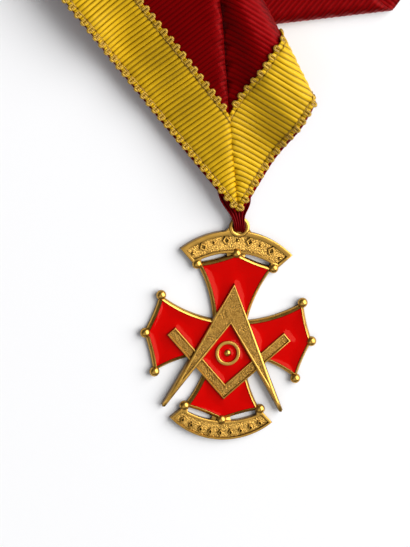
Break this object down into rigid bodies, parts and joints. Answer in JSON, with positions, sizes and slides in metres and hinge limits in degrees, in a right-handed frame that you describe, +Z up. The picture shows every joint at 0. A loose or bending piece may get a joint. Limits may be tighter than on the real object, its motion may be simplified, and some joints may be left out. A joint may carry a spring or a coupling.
{
  "type": "enamelled cross medal on a neck ribbon",
  "caption": "Gilt openwork cross medal with red enamel, compasses and square, hung on a folded red neck ribbon with a yellow picot-edged trim.",
  "frame": {"origin": "middle of the laid-out piece's box, on the surface that it lies on", "axes": "+Z up from the surface, +Y towards the far end of the ribbon, +X to the right"},
  "size_m": [0.2279, 0.2848, 0.0191],
  "materials": {
    "gilt": "gilt cast metal, darker in the hollows",
    "enamel_red": "glossy translucent red enamel",
    "ribbon_red": "ribbed grosgrain with a satin sheen",
    "trim_yellow": "ribbed grosgrain with a picot edge",
    "loop_red": "gathered ribbon cloth"
  },
  "bodies": {
    "root": {"cross_medal": "gilt", "enamel_top": "enamel_red", "enamel_left": "enamel_red", "enamel_bottom": "enamel_red", "enamel_right": "enamel_red", "enamel_centre": "enamel_red", "enamel_ring": "enamel_red", "ribbon": "ribbon_red", "ribbon_trim": "trim_yellow", "ribbon_loop": "loop_red"}
  },
  "joints": []
}
